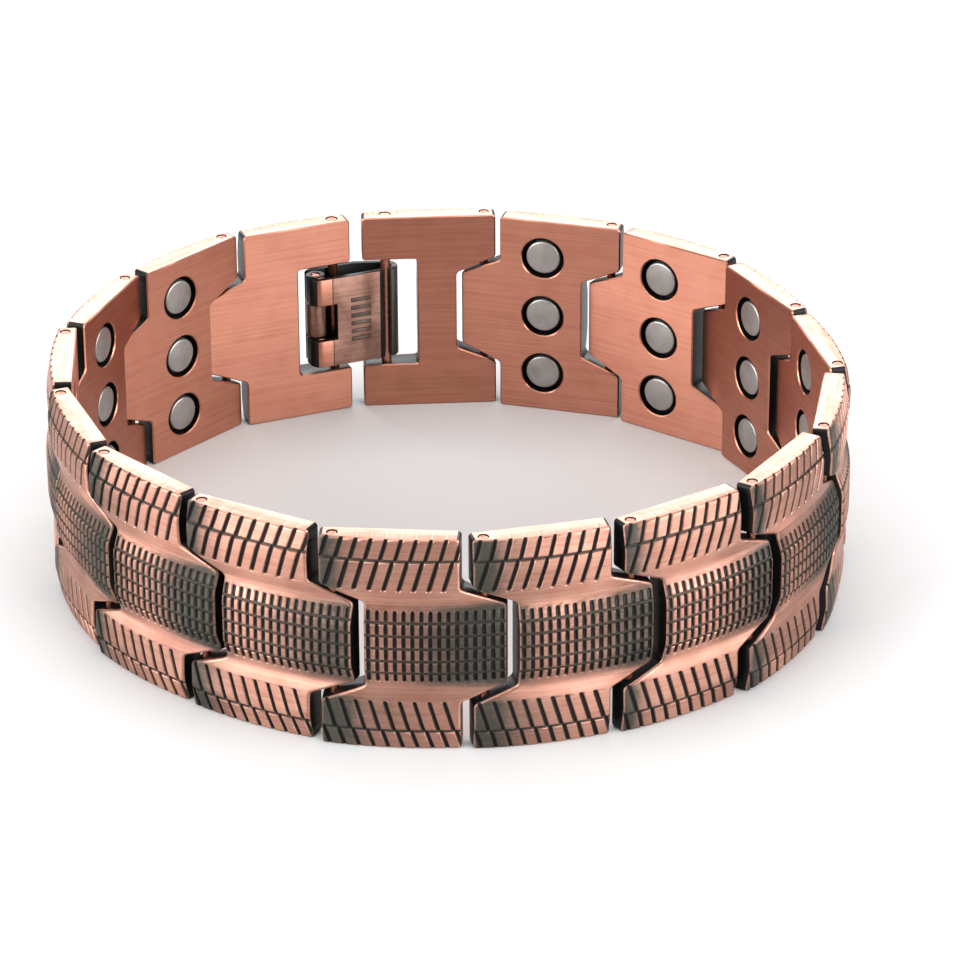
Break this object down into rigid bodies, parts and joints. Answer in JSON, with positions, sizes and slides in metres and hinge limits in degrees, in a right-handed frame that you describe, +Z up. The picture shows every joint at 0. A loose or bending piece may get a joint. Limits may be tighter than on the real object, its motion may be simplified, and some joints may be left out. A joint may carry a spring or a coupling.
{
  "type": "copper link bracelet",
  "caption": "Closed loop of hinged copper links with a hatched pattern outside, magnets inside and a fold-over clasp.",
  "frame": {"origin": "middle of the loop's bounding box, on the floor that the bracelet's lower edge rests on", "axes": "+Z up along the hinge pins, across the band; +Y from the middle to the clasp; +X to the right, along the loop's longest width"},
  "size_m": [0.0738, 0.0718, 0.0203],
  "materials": {
    "copper": "satin copper with blackened grooves",
    "steel": "plain",
    "magnet": "plain"
  },
  "bodies": {
    "bracelet": {"link_01": "copper", "link_02": "copper", "link_03": "copper", "link_04": "copper", "link_05": "copper", "link_06": "copper", "link_07": "copper", "link_08": "copper", "link_09": "copper", "link_10": "copper", "link_11": "copper", "link_12": "copper", "link_13": "copper", "link_14": "copper", "link_15": "copper", "magnets_01": "magnet", "magnets_02": "magnet", "magnets_03": "magnet", "magnets_04": "magnet", "magnets_05": "magnet", "magnets_06": "magnet", "magnets_07": "magnet", "magnets_08": "magnet", "magnets_09": "magnet", "magnets_10": "magnet", "magnets_11": "magnet", "magnets_12": "magnet", "magnets_13": "magnet", "magnets_14": "magnet", "magnets_15": "magnet", "joint_pin_01": "steel", "joint_pin_02": "steel", "joint_pin_03": "steel", "joint_pin_04": "steel", "joint_pin_05": "steel", "joint_pin_06": "steel", "joint_pin_07": "steel", "joint_pin_08": "steel", "joint_pin_09": "steel", "joint_pin_10": "steel", "joint_pin_11": "steel", "joint_pin_12": "steel", "joint_pin_13": "steel", "joint_pin_14": "steel", "joint_pin_15": "steel", "joint_pin_16": "steel", "clasp_link_a": "copper", "clasp_link_b": "copper", "clasp_plate": "copper", "clasp_bar_a": "steel", "clasp_bar_b": "steel", "clasp_hinge_pin": "steel"},
    "lever": {"clasp_lever": "copper"}
  },
  "joints": [
    {"name": "lever_hinge", "type": "hinge", "parent": "bracelet", "child": "lever", "pos_m": [-0.0128, 0.03145, 0.01015], "axis": [0, 0, -1], "range_deg": [0, 95]}
  ]
}
